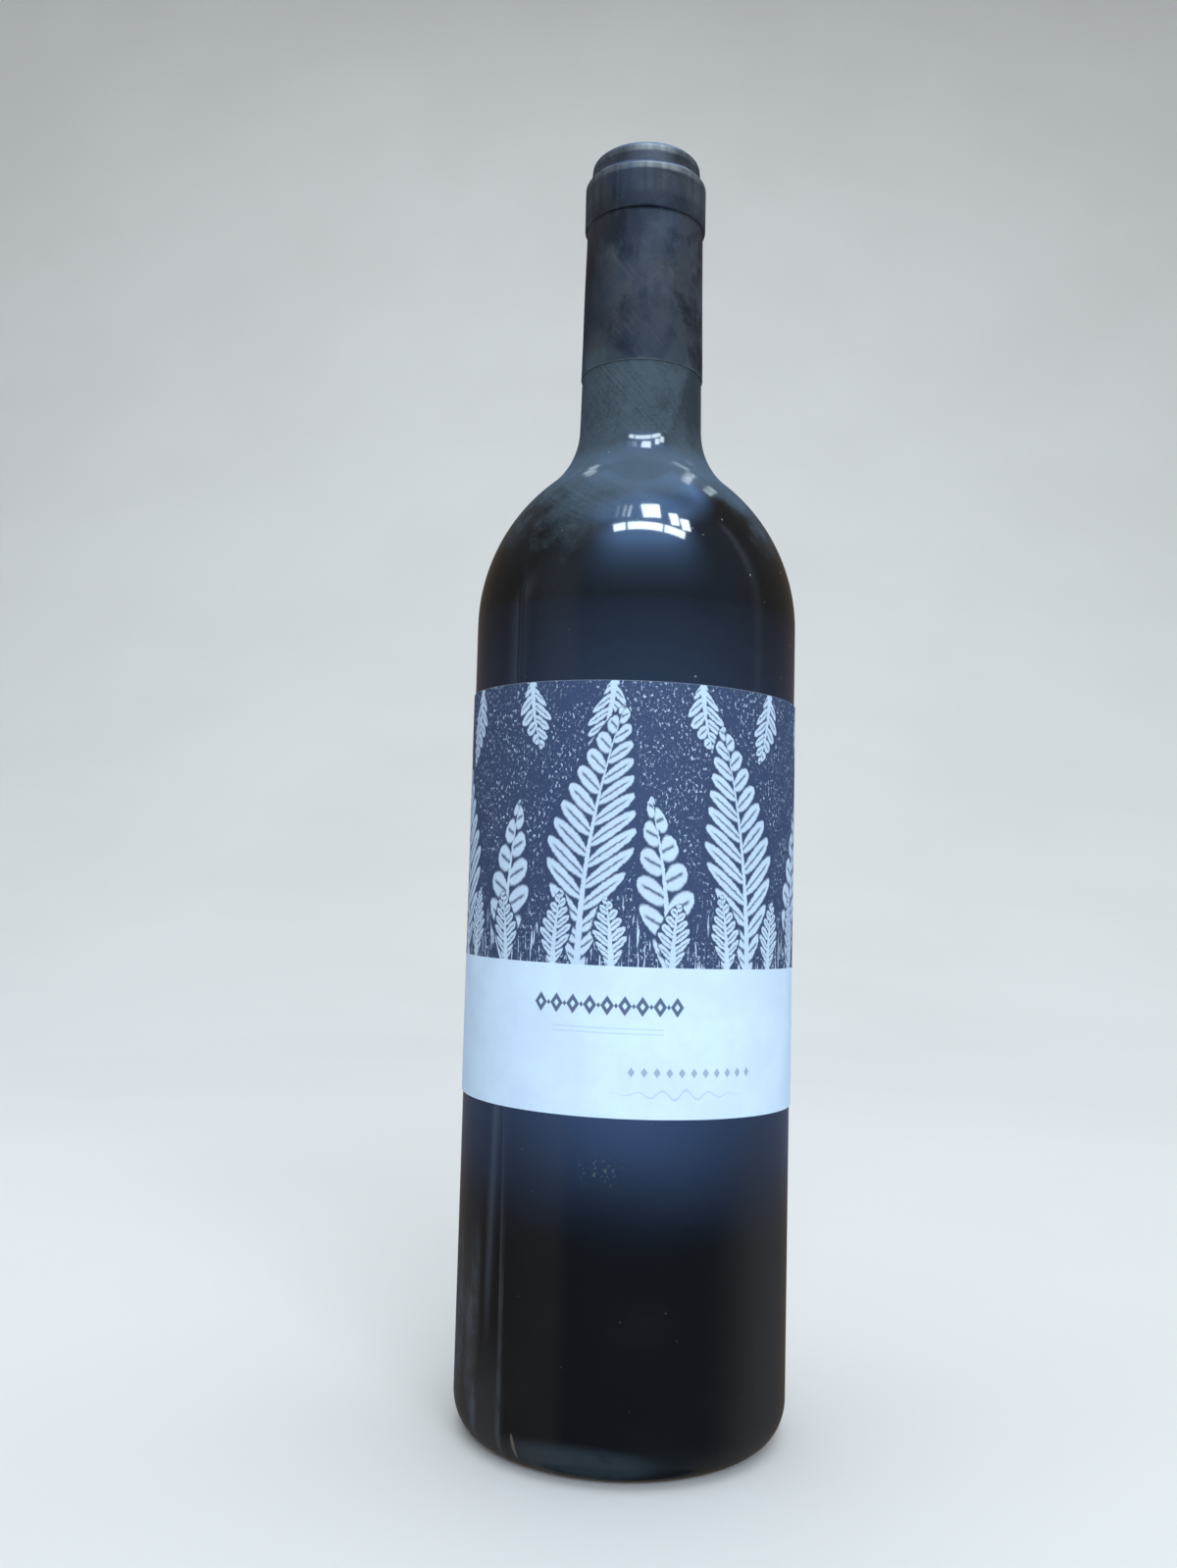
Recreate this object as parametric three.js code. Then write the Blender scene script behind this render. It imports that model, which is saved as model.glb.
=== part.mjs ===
// A shut 750 ml wine bottle with high, round shoulders: dark glass, a long capsule drawn down
// over the mouth and neck, and one wide paper label wrapped round the body.
// Millimetres, +Z up. The bottle stands on z = 0, with its axis on Z and its label facing -Y.
import * as THREE from 'three';

// Glass body and base
const BODY_RADIUS = 38.1;
const HEEL_WIDTH = 6.5;
const HEEL_HEIGHT = 8.5;
const PUNT_RADIUS = 25;
const PUNT_DEPTH = 16;

// Glass shoulder and neck
const SHOULDER_FOOT = 184.8;
const SHOULDER_RADIUS = 44.5;
const NECK_SWEEP_RADIUS = 20.4;
const NECK_FOOT_RADIUS = 14.78;
const NECK_TAPER_DEG = 0.95;

// Glass mouth: a collar with a round foot and shoulder, and a narrower lip above it
const COLLAR_FOOT = 284.8;
const COLLAR_RADIUS = 14.55;
const COLLAR_FOOT_ROUND = 0.2;
const COLLAR_TOP = 295.9;
const COLLAR_TOP_ROUND = 1.2;
const COLLAR_TOP_SLOPE_DEG = 50;
const LIP_FOOT = 296.7;
const LIP_FOOT_RADIUS = 13.3;
const LIP_RADIUS = 12.95;
const LIP_EDGE_ROUND = 1.7;
const LIP_TOP = 301.7;

// Capsule: a thin cap that follows the neck, the collar and the lip
const CAPSULE_FOOT = 247;
const CAPSULE_GAP = 0.1;
const CAPSULE_WALL = 0.2;

// Label: a sheet bent round the body, stuck on a little askew, lower at its right
const LABEL_FOOT = 75;
const LABEL_HEIGHT = 92;
const LABEL_GAP = 0.1;
const LABEL_THICKNESS = 0.2;
const LABEL_SKEW_DEG = 0.75;

// Facets: the label's edges fall on the same angles as the glass behind it
const FACETS_ROUND = 72;
const LABEL_FACETS = 58;
const PUNT_STEPS = 8;
const HEEL_STEPS = 6;
const SHOULDER_STEPS = 9;
const NECK_SWEEP_STEPS = 6;
const SMALL_ROUND_STEPS = 3;

const QUARTER_TURN = Math.PI / 2;
const neckTaper = THREE.MathUtils.degToRad(NECK_TAPER_DEG);

// Points of an ellipse's arc in the (radius, height) plane, both ends included
function arc(centreRadius, centreHeight, halfWidth, halfHeight, from, to, steps) {
  return Array.from({ length: steps + 1 }, (_, step) => {
    const angle = from + ((to - from) * step) / steps;
    return new THREE.Vector2(
      centreRadius + halfWidth * Math.cos(angle),
      centreHeight + halfHeight * Math.sin(angle),
    );
  });
}

// The base: a dome pushed up from below, a flat standing ring and a round heel
function baseOutline() {
  const domeRadius = (PUNT_RADIUS ** 2 + PUNT_DEPTH ** 2) / (2 * PUNT_DEPTH);
  const domeCentre = PUNT_DEPTH - domeRadius;
  const mouthAngle = Math.asin(-domeCentre / domeRadius);
  const apex = new THREE.Vector2(0, PUNT_DEPTH);
  const dome = arc(0, domeCentre, domeRadius, domeRadius, QUARTER_TURN, mouthAngle, PUNT_STEPS);
  const ringRadius = BODY_RADIUS - HEEL_WIDTH;
  const heel = arc(ringRadius, HEEL_HEIGHT, HEEL_WIDTH, HEEL_HEIGHT, -QUARTER_TURN, 0, HEEL_STEPS);
  return [apex, ...dome.slice(1), ...heel];
}

// The shoulder rounds in from the body, then a hollow sweep turns it up into the tapered neck.
// The two arcs touch where both lean by the angle that joins the body to the neck.
function shoulderArcs() {
  const reach = SHOULDER_RADIUS + NECK_SWEEP_RADIUS;
  const shoulderCentre = BODY_RADIUS - SHOULDER_RADIUS;
  const sweepCentre = NECK_FOOT_RADIUS + NECK_SWEEP_RADIUS * Math.cos(neckTaper);
  const lean = Math.acos((sweepCentre - shoulderCentre) / reach);
  const sweepHeight = SHOULDER_FOOT + reach * Math.sin(lean);
  const shoulder = arc(
    shoulderCentre, SHOULDER_FOOT, SHOULDER_RADIUS, SHOULDER_RADIUS, 0, lean, SHOULDER_STEPS,
  );
  const sweep = arc(
    sweepCentre, sweepHeight, NECK_SWEEP_RADIUS, NECK_SWEEP_RADIUS,
    Math.PI + lean, Math.PI + neckTaper, NECK_SWEEP_STEPS,
  );
  return [...shoulder, ...sweep.slice(1)];
}

// The neck's radius at a height, narrowing upward from the end of the sweep
function neckPoint(height, sweepEnd) {
  return new THREE.Vector2(sweepEnd.x - (height - sweepEnd.y) * Math.tan(neckTaper), height);
}

// The mouth above the neck: collar, sloping step and lip, up to the middle of the top
function mouthOutline() {
  const footRound = arc(
    COLLAR_RADIUS - COLLAR_FOOT_ROUND, COLLAR_FOOT + COLLAR_FOOT_ROUND,
    COLLAR_FOOT_ROUND, COLLAR_FOOT_ROUND, -QUARTER_TURN, 0, SMALL_ROUND_STEPS,
  );
  const slope = THREE.MathUtils.degToRad(COLLAR_TOP_SLOPE_DEG);
  const topRound = arc(
    COLLAR_RADIUS - COLLAR_TOP_ROUND, COLLAR_TOP - COLLAR_TOP_ROUND * Math.sin(slope),
    COLLAR_TOP_ROUND, COLLAR_TOP_ROUND, 0, slope, SMALL_ROUND_STEPS,
  );
  const lipFoot = new THREE.Vector2(LIP_FOOT_RADIUS, LIP_FOOT);
  const lipEdge = arc(
    LIP_RADIUS - LIP_EDGE_ROUND, LIP_TOP - LIP_EDGE_ROUND,
    LIP_EDGE_ROUND, LIP_EDGE_ROUND, 0, QUARTER_TURN, SMALL_ROUND_STEPS,
  );
  return [...footRound, ...topRound, lipFoot, ...lipEdge, new THREE.Vector2(0, LIP_TOP)];
}

// An outline moved outwards by a distance: each corner moves along the line that halves it
function movedOut(outline, distance) {
  return outline.map((point, index) => {
    const before = outline[Math.max(index - 1, 0)];
    const after = outline[Math.min(index + 1, outline.length - 1)];
    const edges = [[before, point], [point, after]].filter(([start, end]) => start !== end);
    const normals = edges.map(([start, end]) =>
      new THREE.Vector2(end.y - start.y, start.x - end.x).normalize());
    const halving = normals.reduce((sum, normal) => sum.add(normal), new THREE.Vector2()).normalize();
    return point.clone().addScaledVector(halving, distance / halving.dot(normals[0]));
  });
}

// A solid of revolution about Z whose first facet edge lies at the front, on -Y
function turned(outline) {
  return new THREE.LatheGeometry(outline, FACETS_ROUND).rotateX(QUARTER_TURN);
}

function glassGeometry(shoulder, sweepEnd, mouth) {
  return turned([...baseOutline(), ...shoulder, neckPoint(COLLAR_FOOT, sweepEnd), ...mouth]);
}

function capsuleGeometry(sweepEnd, mouth) {
  const covered = [neckPoint(CAPSULE_FOOT, sweepEnd), neckPoint(COLLAR_FOOT, sweepEnd), ...mouth];
  const inside = movedOut(covered, CAPSULE_GAP);
  const outside = movedOut(covered, CAPSULE_GAP + CAPSULE_WALL);
  return turned([...inside.reverse(), ...outside]);
}

// A flat sheet with one strip for each facet of the glass, wrapped round the front of the body
function labelGeometry() {
  const wrap = (2 * Math.PI * LABEL_FACETS) / FACETS_ROUND;
  const sheet = new THREE.BoxGeometry(wrap, LABEL_HEIGHT, LABEL_THICKNESS, LABEL_FACETS);
  const innerRadius = BODY_RADIUS + LABEL_GAP;
  const fall = BODY_RADIUS * Math.tan(THREE.MathUtils.degToRad(LABEL_SKEW_DEG));
  const corners = sheet.attributes.position;
  for (let index = 0; index < corners.count; index += 1) {
    const angle = corners.getX(index);
    const radius = innerRadius + LABEL_THICKNESS / 2 + corners.getZ(index);
    const height = LABEL_FOOT + LABEL_HEIGHT / 2 + corners.getY(index) - fall * angle;
    corners.setXYZ(index, radius * Math.sin(angle), -radius * Math.cos(angle), height);
  }
  sheet.computeVertexNormals();
  return sheet;
}

function piece(name, geometry, finish) {
  const mesh = new THREE.Mesh(geometry, new THREE.MeshStandardMaterial(finish));
  mesh.name = name;
  return mesh;
}

const shoulder = shoulderArcs();
const sweepEnd = shoulder[shoulder.length - 1];
const mouth = mouthOutline();

const bottle = new THREE.Group();
bottle.add(
  piece('glass_bottle', glassGeometry(shoulder, sweepEnd, mouth), {
    color: 0x11161a, roughness: 0.1, metalness: 0,
  }),
  piece('capsule', capsuleGeometry(sweepEnd, mouth), {
    color: 0x23292f, roughness: 0.5, metalness: 0.2,
  }),
  piece('label', labelGeometry(), {
    color: 0xd9def0, roughness: 0.8, metalness: 0,
  }),
);

export default bottle;
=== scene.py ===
# %% [markdown]
# # A shut wine bottle, dressed around its solids
#
# The object is a dark, dusty 750 ml wine bottle: glass, a black capsule over the mouth and neck,
# and one wide paper label. The solids are already at their real size, but they are faceted, and
# polished glass shows every facet in its reflections. So each of the three pieces is made again
# here as a smooth surface in the same place, and then gets its finish.
#
# The first cell loads the solids as a fixed frame and keeps their box, which nothing may outgrow.

import bpy
import numpy as np
from mathutils import Matrix, Vector


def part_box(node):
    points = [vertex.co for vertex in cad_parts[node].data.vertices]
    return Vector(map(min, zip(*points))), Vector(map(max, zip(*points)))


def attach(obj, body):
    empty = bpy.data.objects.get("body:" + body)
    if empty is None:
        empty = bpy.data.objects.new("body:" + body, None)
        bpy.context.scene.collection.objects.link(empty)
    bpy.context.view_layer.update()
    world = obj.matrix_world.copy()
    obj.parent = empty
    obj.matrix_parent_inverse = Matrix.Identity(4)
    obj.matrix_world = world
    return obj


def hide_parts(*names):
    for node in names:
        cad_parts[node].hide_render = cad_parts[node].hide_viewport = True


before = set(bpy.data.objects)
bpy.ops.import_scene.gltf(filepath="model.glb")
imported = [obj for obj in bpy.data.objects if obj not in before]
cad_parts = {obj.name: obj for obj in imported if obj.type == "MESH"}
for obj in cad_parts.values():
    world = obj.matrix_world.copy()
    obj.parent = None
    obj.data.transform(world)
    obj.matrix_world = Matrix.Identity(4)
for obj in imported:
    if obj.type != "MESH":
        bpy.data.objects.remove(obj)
scene = bpy.context.scene
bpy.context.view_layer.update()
MM = 0.001
print("solids:", sorted(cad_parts))

# %% [markdown]
# ## The camera
#
# A camera is a place, three turns and a lens. All of them were solved from the outline of the
# bottle: it is seen from about a hand and a half away, level with the lower part of the label,
# looking up by less than five degrees. A camera's own axes are right, up and backwards, so its
# matrix is built from those three arrows, which is safer than guessing the order of Euler turns.

# %% Camera
CAMERA_PLACE = Vector((0.0, -327.4, 120.9)) * MM
CAMERA_TURN = {"yaw": -0.0322, "pitch": 0.0818, "roll": -0.0255}
FOCAL_PIXELS = 1395.4
PICTURE_HEIGHT = 1598
SENSOR = 36.0


def camera_turn(yaw, pitch, roll):
    """Right, up and backward arrows: yaw and pitch aim, and roll turns the others about the aim."""
    aim = Vector((np.sin(yaw) * np.cos(pitch), np.cos(yaw) * np.cos(pitch), np.sin(pitch)))
    right = Vector((np.cos(yaw), -np.sin(yaw), 0.0))
    down = aim.cross(right)
    rolled_right = np.cos(roll) * right + np.sin(roll) * down
    rolled_down = np.cos(roll) * down - np.sin(roll) * right
    return Matrix((rolled_right, -rolled_down, -aim)).transposed()


camera_data = bpy.data.cameras.new("camera")
camera_data.sensor_width = SENSOR
camera_data.lens = FOCAL_PIXELS / PICTURE_HEIGHT * SENSOR
camera_data.clip_start = 0.01
camera = bpy.data.objects.new("camera", camera_data)
camera.matrix_world = Matrix.Translation(CAMERA_PLACE) @ camera_turn(**CAMERA_TURN).to_4x4()
scene.collection.objects.link(camera)
scene.camera = camera
print("lens in mm:", round(camera_data.lens, 2))

# %% [markdown]
# ## Surfaces from arrays
#
# A bottle is a profile carried round an axis. Blender has a Screw modifier for that, but working
# the points out as one array gives control over every one of them: a seam in the glass or a crease
# in the capsule is just a small amount added to the radius before the points are placed.

# %% Helpers that make meshes
def add_piece(name, points, faces):
    """A smooth mesh object at the origin, with its place in its points."""
    mesh = bpy.data.meshes.new(name)
    mesh.from_pydata(points.tolist(), [], faces)
    mesh.shade_smooth()
    made = bpy.data.objects.new(name, mesh)
    scene.collection.objects.link(made)
    print(name, "has", len(points), "points and", len(faces), "faces")
    return made


def arc(centre, reach, start, end, count):
    """An arc: centre plus reach times (cosine, sine) at even angles.

    reach is one radius, or the half width and half height of an ellipse."""
    angle = np.linspace(start, end, count)
    return np.asarray(centre) + np.column_stack([np.cos(angle), np.sin(angle)]) * reach


def around(radius, angle, height):
    """Rows of points round Z: x = r sin a, y = -r cos a, so that angle 0 is in front."""
    axes = np.broadcast_arrays(radius * np.sin(angle), -radius * np.cos(angle), height)
    return np.stack(axes, axis=-1).reshape(-1, 3)


def turned(name, outline, angles, swell):
    """Carries an outline of (radius, height) round Z. It starts and ends on the axis.

    swell is added to the radius, one value for each outline point and angle."""
    rows, columns = len(outline) - 2, len(angles)
    wall = around(outline[1:-1, :1] + swell[1:-1], angles, outline[1:-1, 1:])
    ends = [[0, 0, outline[0, 1]], [0, 0, outline[-1, 1]]]
    points = np.concatenate([wall, ends])
    index = np.arange(rows * columns).reshape(rows, columns)
    beside = np.roll(index, -1, axis=1)
    quads = np.stack([index[:-1], beside[:-1], beside[1:], index[1:]], axis=-1).reshape(-1, 4)
    first, last = rows * columns, rows * columns + 1
    start_fan = np.stack([beside[0], index[0], np.full(columns, first)], axis=-1)
    end_fan = np.stack([index[-1], beside[-1], np.full(columns, last)], axis=-1)
    return add_piece(name, points, quads.tolist() + start_fan.tolist() + end_fan.tolist())


# %% [markdown]
# ## The glass
#
# From the floor up the outline is a dome pushed into the base, a narrow standing ring, a round
# heel, the straight body, a round shoulder, a hollow sweep into the neck, and the collar and lip
# that the capsule hides. Every stretch is a line or an arc, and arcs that touch share a tangent,
# because a kink of one degree would break a reflection in two.

# %% Outline of the glass
glass_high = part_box("glass_bottle")[1]
BODY_RADIUS = glass_high.x
HEEL = np.array([6.5, 8.5]) * MM
PUNT_RADIUS = 25 * MM
PUNT_DEPTH = 16 * MM
PUNT_EDGE_ROUND = 1.6 * MM
SHOULDER_FOOT = 184.8 * MM
SHOULDER_RADIUS = 44.5 * MM
NECK_SWEEP_RADIUS = 20.4 * MM
NECK_FOOT_RADIUS = 14.78 * MM
NECK_TAPER = np.radians(0.95)
QUARTER = np.pi / 2


def base_outline():
    """A spherical dome that meets the flat ring by a small round, then the ring and the heel."""
    dome_radius = (PUNT_RADIUS**2 + PUNT_DEPTH**2) / (2 * PUNT_DEPTH)
    dome_centre = PUNT_DEPTH - dome_radius
    touch = dome_radius + PUNT_EDGE_ROUND
    rise = PUNT_EDGE_ROUND - dome_centre
    edge_centre = np.array([np.sqrt(touch**2 - rise**2), PUNT_EDGE_ROUND])
    lean = np.arctan2(rise, edge_centre[0])
    dome = arc((0, dome_centre), dome_radius, QUARTER, lean, 26)
    dome[0, 0] = 0
    edge = arc(edge_centre, PUNT_EDGE_ROUND, lean + np.pi, 3 * QUARTER, 8)
    heel = arc((BODY_RADIUS - HEEL[0], HEEL[1]), HEEL, -QUARTER, 0, 20)
    return np.concatenate([dome, edge[1:], heel])


def shoulder_outline():
    """Two arcs that touch: round in from the body, then hollow up to the neck's slight taper."""
    shoulder_centre = np.array([BODY_RADIUS - SHOULDER_RADIUS, SHOULDER_FOOT])
    sweep_radius = NECK_FOOT_RADIUS + NECK_SWEEP_RADIUS * np.cos(NECK_TAPER)
    reach = SHOULDER_RADIUS + NECK_SWEEP_RADIUS
    lean = np.arccos((sweep_radius - shoulder_centre[0]) / reach)
    sweep_centre = (sweep_radius, SHOULDER_FOOT + reach * np.sin(lean))
    shoulder = arc(shoulder_centre, SHOULDER_RADIUS, 0, lean, 44)
    sweep = arc(sweep_centre, NECK_SWEEP_RADIUS, np.pi + lean, np.pi + NECK_TAPER, 28)
    return np.concatenate([shoulder, sweep[1:]])


shoulder_line = shoulder_outline()
sweep_end = shoulder_line[-1]
print("the sweep ends at radius and height, in mm:", np.round(sweep_end / MM, 2))

# %% [markdown]
# The mouth is a collar, a sloping step and a lip. The capsule hides it but lies on it like a skin,
# so this outline serves twice: here for the glass, and later, moved outwards, for the capsule. The
# glass could be left plain there, but then the two would have to be kept alike by hand.

# %% Outline of the mouth
COLLAR_FOOT = 284.8 * MM
COLLAR_RADIUS = 14.55 * MM
COLLAR_FOOT_ROUND = 0.2 * MM
COLLAR_TOP = 295.9 * MM
COLLAR_TOP_ROUND = 1.2 * MM
COLLAR_TOP_SLOPE = np.radians(50)
LIP_FOOT = np.array([13.3, 296.7]) * MM
LIP_RADIUS = 12.95 * MM
LIP_EDGE_ROUND = 1.7 * MM
LIP_TOP = glass_high.z
DISC_STEPS = 7


def neck_point(height):
    """The neck's radius at a height: it narrows evenly from the end of the sweep."""
    return np.array([sweep_end[0] - (height - sweep_end[1]) * np.tan(NECK_TAPER), height])


def mouth_outline():
    """Collar with a round foot and top, a sloping step, and a lip with a round edge."""
    foot_centre = (COLLAR_RADIUS - COLLAR_FOOT_ROUND, COLLAR_FOOT + COLLAR_FOOT_ROUND)
    foot = arc(foot_centre, COLLAR_FOOT_ROUND, -QUARTER, 0, 5)
    top_fall = COLLAR_TOP_ROUND * np.sin(COLLAR_TOP_SLOPE)
    top_centre = (COLLAR_RADIUS - COLLAR_TOP_ROUND, COLLAR_TOP - top_fall)
    top = arc(top_centre, COLLAR_TOP_ROUND, 0, COLLAR_TOP_SLOPE, 8)
    edge_centre = (LIP_RADIUS - LIP_EDGE_ROUND, LIP_TOP - LIP_EDGE_ROUND)
    edge = arc(edge_centre, LIP_EDGE_ROUND, 0, QUARTER, 10)
    wall = np.linspace(foot[-1], top[0], 12)[1:-1]
    inwards = np.linspace(edge[-1, 0], 0, DISC_STEPS + 1)[1:]
    disc = np.column_stack([inwards, np.full(DISC_STEPS, LIP_TOP)])
    return np.concatenate([foot, wall, top, [LIP_FOOT], edge, disc])


mouth_line = mouth_outline()
print("the mouth's outline has", len(mouth_line), "points")

# %% [markdown]
# A blown bottle has two faint seams where the halves of its mould met, raised by a tenth of a
# millimetre. They could be a bump in the material, but then the mesh itself would lack them. Even
# steps round the bottle are too coarse for so narrow a line, so a few extra columns of points are
# packed close to each seam.

# %% Turn the glass
SEAM_ANGLE = np.radians(-42)
SEAM_HEIGHT = 0.1 * MM
SEAM_WIDTH = 0.5 * MM
SEAM_COLUMNS = 13
SEAM_START = 3 * MM
SEAM_RISE = 8 * MM
SEAM_FALL = 6 * MM
AROUND_STEPS = 224
BODY_STEPS = 40
NECK_STEPS = 24


def angles_with_seams():
    """Even angles round the bottle, with extra ones close to each seam."""
    even = np.linspace(-np.pi, np.pi, AROUND_STEPS, endpoint=False)
    close = np.linspace(-3, 3, SEAM_COLUMNS) * SEAM_WIDTH / BODY_RADIUS
    seams = np.array([SEAM_ANGLE, SEAM_ANGLE + np.pi])
    packed = (seams[:, None] + close).ravel()
    clear = np.abs(even[:, None] - packed).min(axis=1) > SEAM_WIDTH / BODY_RADIUS / 3
    return np.sort(np.concatenate([even[clear], packed])), seams


def seam_swell(outline, angles, seams):
    """A ridge of bell shape at each seam, fading out at the base and under the capsule."""
    turn = (angles[:, None] - seams + np.pi) % (2 * np.pi) - np.pi
    away = np.abs(turn).min(axis=1) * outline[:, :1]
    bell = SEAM_HEIGHT * np.exp(-((away / SEAM_WIDTH) ** 2))
    rise = np.clip((outline[:, 1:] - SEAM_START) / SEAM_RISE, 0, 1)
    fall = np.clip((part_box("capsule")[0].z - outline[:, 1:]) / SEAM_FALL, 0, 1)
    outside = (np.arange(len(outline)) > np.argmin(outline[:, 1]))[:, None]
    return bell * rise * fall * outside


body_line = np.linspace((BODY_RADIUS, HEEL[1]), (BODY_RADIUS, SHOULDER_FOOT), BODY_STEPS)[1:-1]
neck_line = np.linspace(sweep_end, neck_point(COLLAR_FOOT), NECK_STEPS)[1:]
glass_line = np.concatenate([base_outline(), body_line, shoulder_line, neck_line, mouth_line])
glass_angles, seam_angles = angles_with_seams()
bottle_glass = turned(
    "bottle_glass", glass_line, glass_angles, seam_swell(glass_line, glass_angles, seam_angles)
)
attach(bottle_glass, "root")
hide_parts("glass_bottle")

# %% [markdown]
# ## The capsule
#
# A capsule is a thin cap, shrunk or spun onto the neck, so its outside is the mouth's outline moved
# out by its wall. The foil is never quite round: a few slow waves stand for dents, and a row of
# faint upright pleats on the collar breaks its reflections into bars.

# %% Turn the capsule
CAPSULE_GAP = 0.1 * MM
CAPSULE_WALL = 0.2 * MM
CAPSULE_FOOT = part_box("capsule")[0].z
DENT_DEPTH = 0.05 * MM
DENT_WAVES = ((2, 70), (3, -45), (5, 31), (7, -26))
PLEAT_DEPTH = 0.03 * MM
PLEAT_TURNS = (17, 23, 31, 41)
PLEAT_SPREAD = 4 * MM
STILL_RADIUS = 8 * MM
FOIL_STEPS = 240
FOIL_CREASE = np.radians(30)


def moved_out(outline, distance):
    """Each corner moves along the line that halves it, by distance over the half angle's cosine."""
    edge = np.diff(outline, axis=0)
    normal = np.column_stack([edge[:, 1], -edge[:, 0]])
    normal /= np.linalg.norm(normal, axis=1, keepdims=True)
    before = np.concatenate([normal[:1], normal])
    after = np.concatenate([normal, normal[-1:]])
    halving = before + after
    halving /= np.linalg.norm(halving, axis=1, keepdims=True)
    return outline + halving * distance / np.sum(halving * before, axis=1, keepdims=True)


def foil_waves(outline, angles):
    """Slow dents all over and fine pleats on the collar, as sums of sines with seeded phases.

    A dent is a number of waves round the axis and a length along it in mm. The top stays flat."""
    draw = np.random.default_rng(7)
    height = outline[:, 1:]
    dents = sum(
        np.sin(turns * angles + 2 * np.pi * height / (length * MM) + draw.uniform(0, 2 * np.pi))
        for turns, length in DENT_WAVES
    )
    pleats = sum(np.sin(turns * angles + draw.uniform(0, 2 * np.pi)) for turns in PLEAT_TURNS)
    collar = np.exp(-(((height - (COLLAR_FOOT + COLLAR_TOP) / 2) / PLEAT_SPREAD) ** 2))
    still = np.clip(outline[:, :1] / STILL_RADIUS, 0, 1) ** 2
    dent_share = DENT_DEPTH / len(DENT_WAVES)
    pleat_share = PLEAT_DEPTH / len(PLEAT_TURNS)
    return still * (dent_share * dents + pleat_share * pleats * collar)


covered = np.concatenate(
    [np.linspace(neck_point(CAPSULE_FOOT), neck_point(COLLAR_FOOT), NECK_STEPS * 2), mouth_line]
)
inside = moved_out(covered, CAPSULE_GAP)[::-1]
outside = moved_out(covered, CAPSULE_GAP + CAPSULE_WALL)
foil_angles = np.linspace(-np.pi, np.pi, FOIL_STEPS, endpoint=False)
foil_swell = np.concatenate([np.zeros((len(inside), FOIL_STEPS)), foil_waves(outside, foil_angles)])
capsule_foil = turned("capsule_foil", np.concatenate([inside, outside]), foil_angles, foil_swell)
capsule_foil.data.set_sharp_from_angle(angle=FOIL_CREASE)
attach(capsule_foil, "root")
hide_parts("capsule")

# %% [markdown]
# ## The label
#
# The label is a flat sheet bent round the body, a little askew. Its surface is a function of two
# lengths, across and up the sheet, and the same two lengths go into a UV map. The print is then
# drawn in millimetres on the sheet, as a printer would, and bends with the paper.

# %% Bend the label
label_low, label_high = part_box("label")
LABEL_OUTSIDE = label_high.x
LABEL_THICKNESS = 0.2 * MM
LABEL_WRAP = np.radians(290)
LABEL_SKEW = np.radians(0.75)
LABEL_FALL = BODY_RADIUS * np.tan(LABEL_SKEW)
LABEL_HEIGHT = label_high.z - label_low.z - LABEL_FALL * LABEL_WRAP
LABEL_FOOT = (label_high.z + label_low.z - LABEL_HEIGHT) / 2
LABEL_WIDTH = LABEL_WRAP * BODY_RADIUS
SHEET_COLUMNS = 233
SHEET_ROWS = 49
SHEET_CREASE = np.radians(40)


def bent_sheet(name):
    """Angle = share across times the wrap; radius by face; height falls evenly with the angle.

    Each column of points runs up the outer face and back down the inner one, and the two end
    columns are closed by a strip between the faces."""
    across = np.linspace(0, 1, SHEET_COLUMNS)
    up = np.linspace(0, 1, SHEET_ROWS)
    loop_up = np.concatenate([up, up[::-1]])
    loop_radius = np.repeat([LABEL_OUTSIDE, LABEL_OUTSIDE - LABEL_THICKNESS], SHEET_ROWS)
    angle = ((across - 0.5) * LABEL_WRAP)[:, None]
    height = LABEL_FOOT + LABEL_HEIGHT * loop_up - LABEL_FALL * angle
    points = around(loop_radius, angle, height)
    index = np.arange(len(points)).reshape(SHEET_COLUMNS, 2 * SHEET_ROWS)
    above = np.roll(index, -1, axis=1)
    quads = np.stack([index[:-1], index[1:], above[1:], above[:-1]], axis=-1).reshape(-1, 4)
    outer = index[:, :SHEET_ROWS]
    inner = index[:, ::-1][:, :SHEET_ROWS]
    left = np.stack([outer[0, :-1], outer[0, 1:], inner[0, 1:], inner[0, :-1]], axis=-1)
    right = np.stack([outer[-1, :-1], inner[-1, :-1], inner[-1, 1:], outer[-1, 1:]], axis=-1)
    made = add_piece(name, points, quads.tolist() + left.tolist() + right.tolist())
    corner = np.empty(len(made.data.loops), dtype=np.int32)
    made.data.loops.foreach_get("vertex_index", corner)
    sheet = np.stack(
        [np.repeat(across, 2 * SHEET_ROWS), np.tile(loop_up, SHEET_COLUMNS)], axis=-1
    )
    made.data.uv_layers.new(name="sheet").data.foreach_set("uv", sheet[corner].ravel())
    made.data.set_sharp_from_angle(angle=SHEET_CREASE)
    return made


label_sheet = bent_sheet("label_sheet")
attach(label_sheet, "root")
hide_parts("label")
print("sheet in mm:", round(LABEL_WIDTH / MM, 1), "by", round(LABEL_HEIGHT / MM, 1))

# %% [markdown]
# ## Shader maths as sums
#
# Dust, wear and print are masks: numbers from 0 to 1 that vary over a surface. Wiring them by hand
# takes dozens of Math nodes. A small class that wraps one socket lets Python do it: adding or
# multiplying two fields adds the Math node and gives its output back as a new field.

# %% The field class
def arithmetic(operation):
    """A method that adds a Math node of this kind."""
    return lambda field, *others: field.math(operation, *others)


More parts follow.
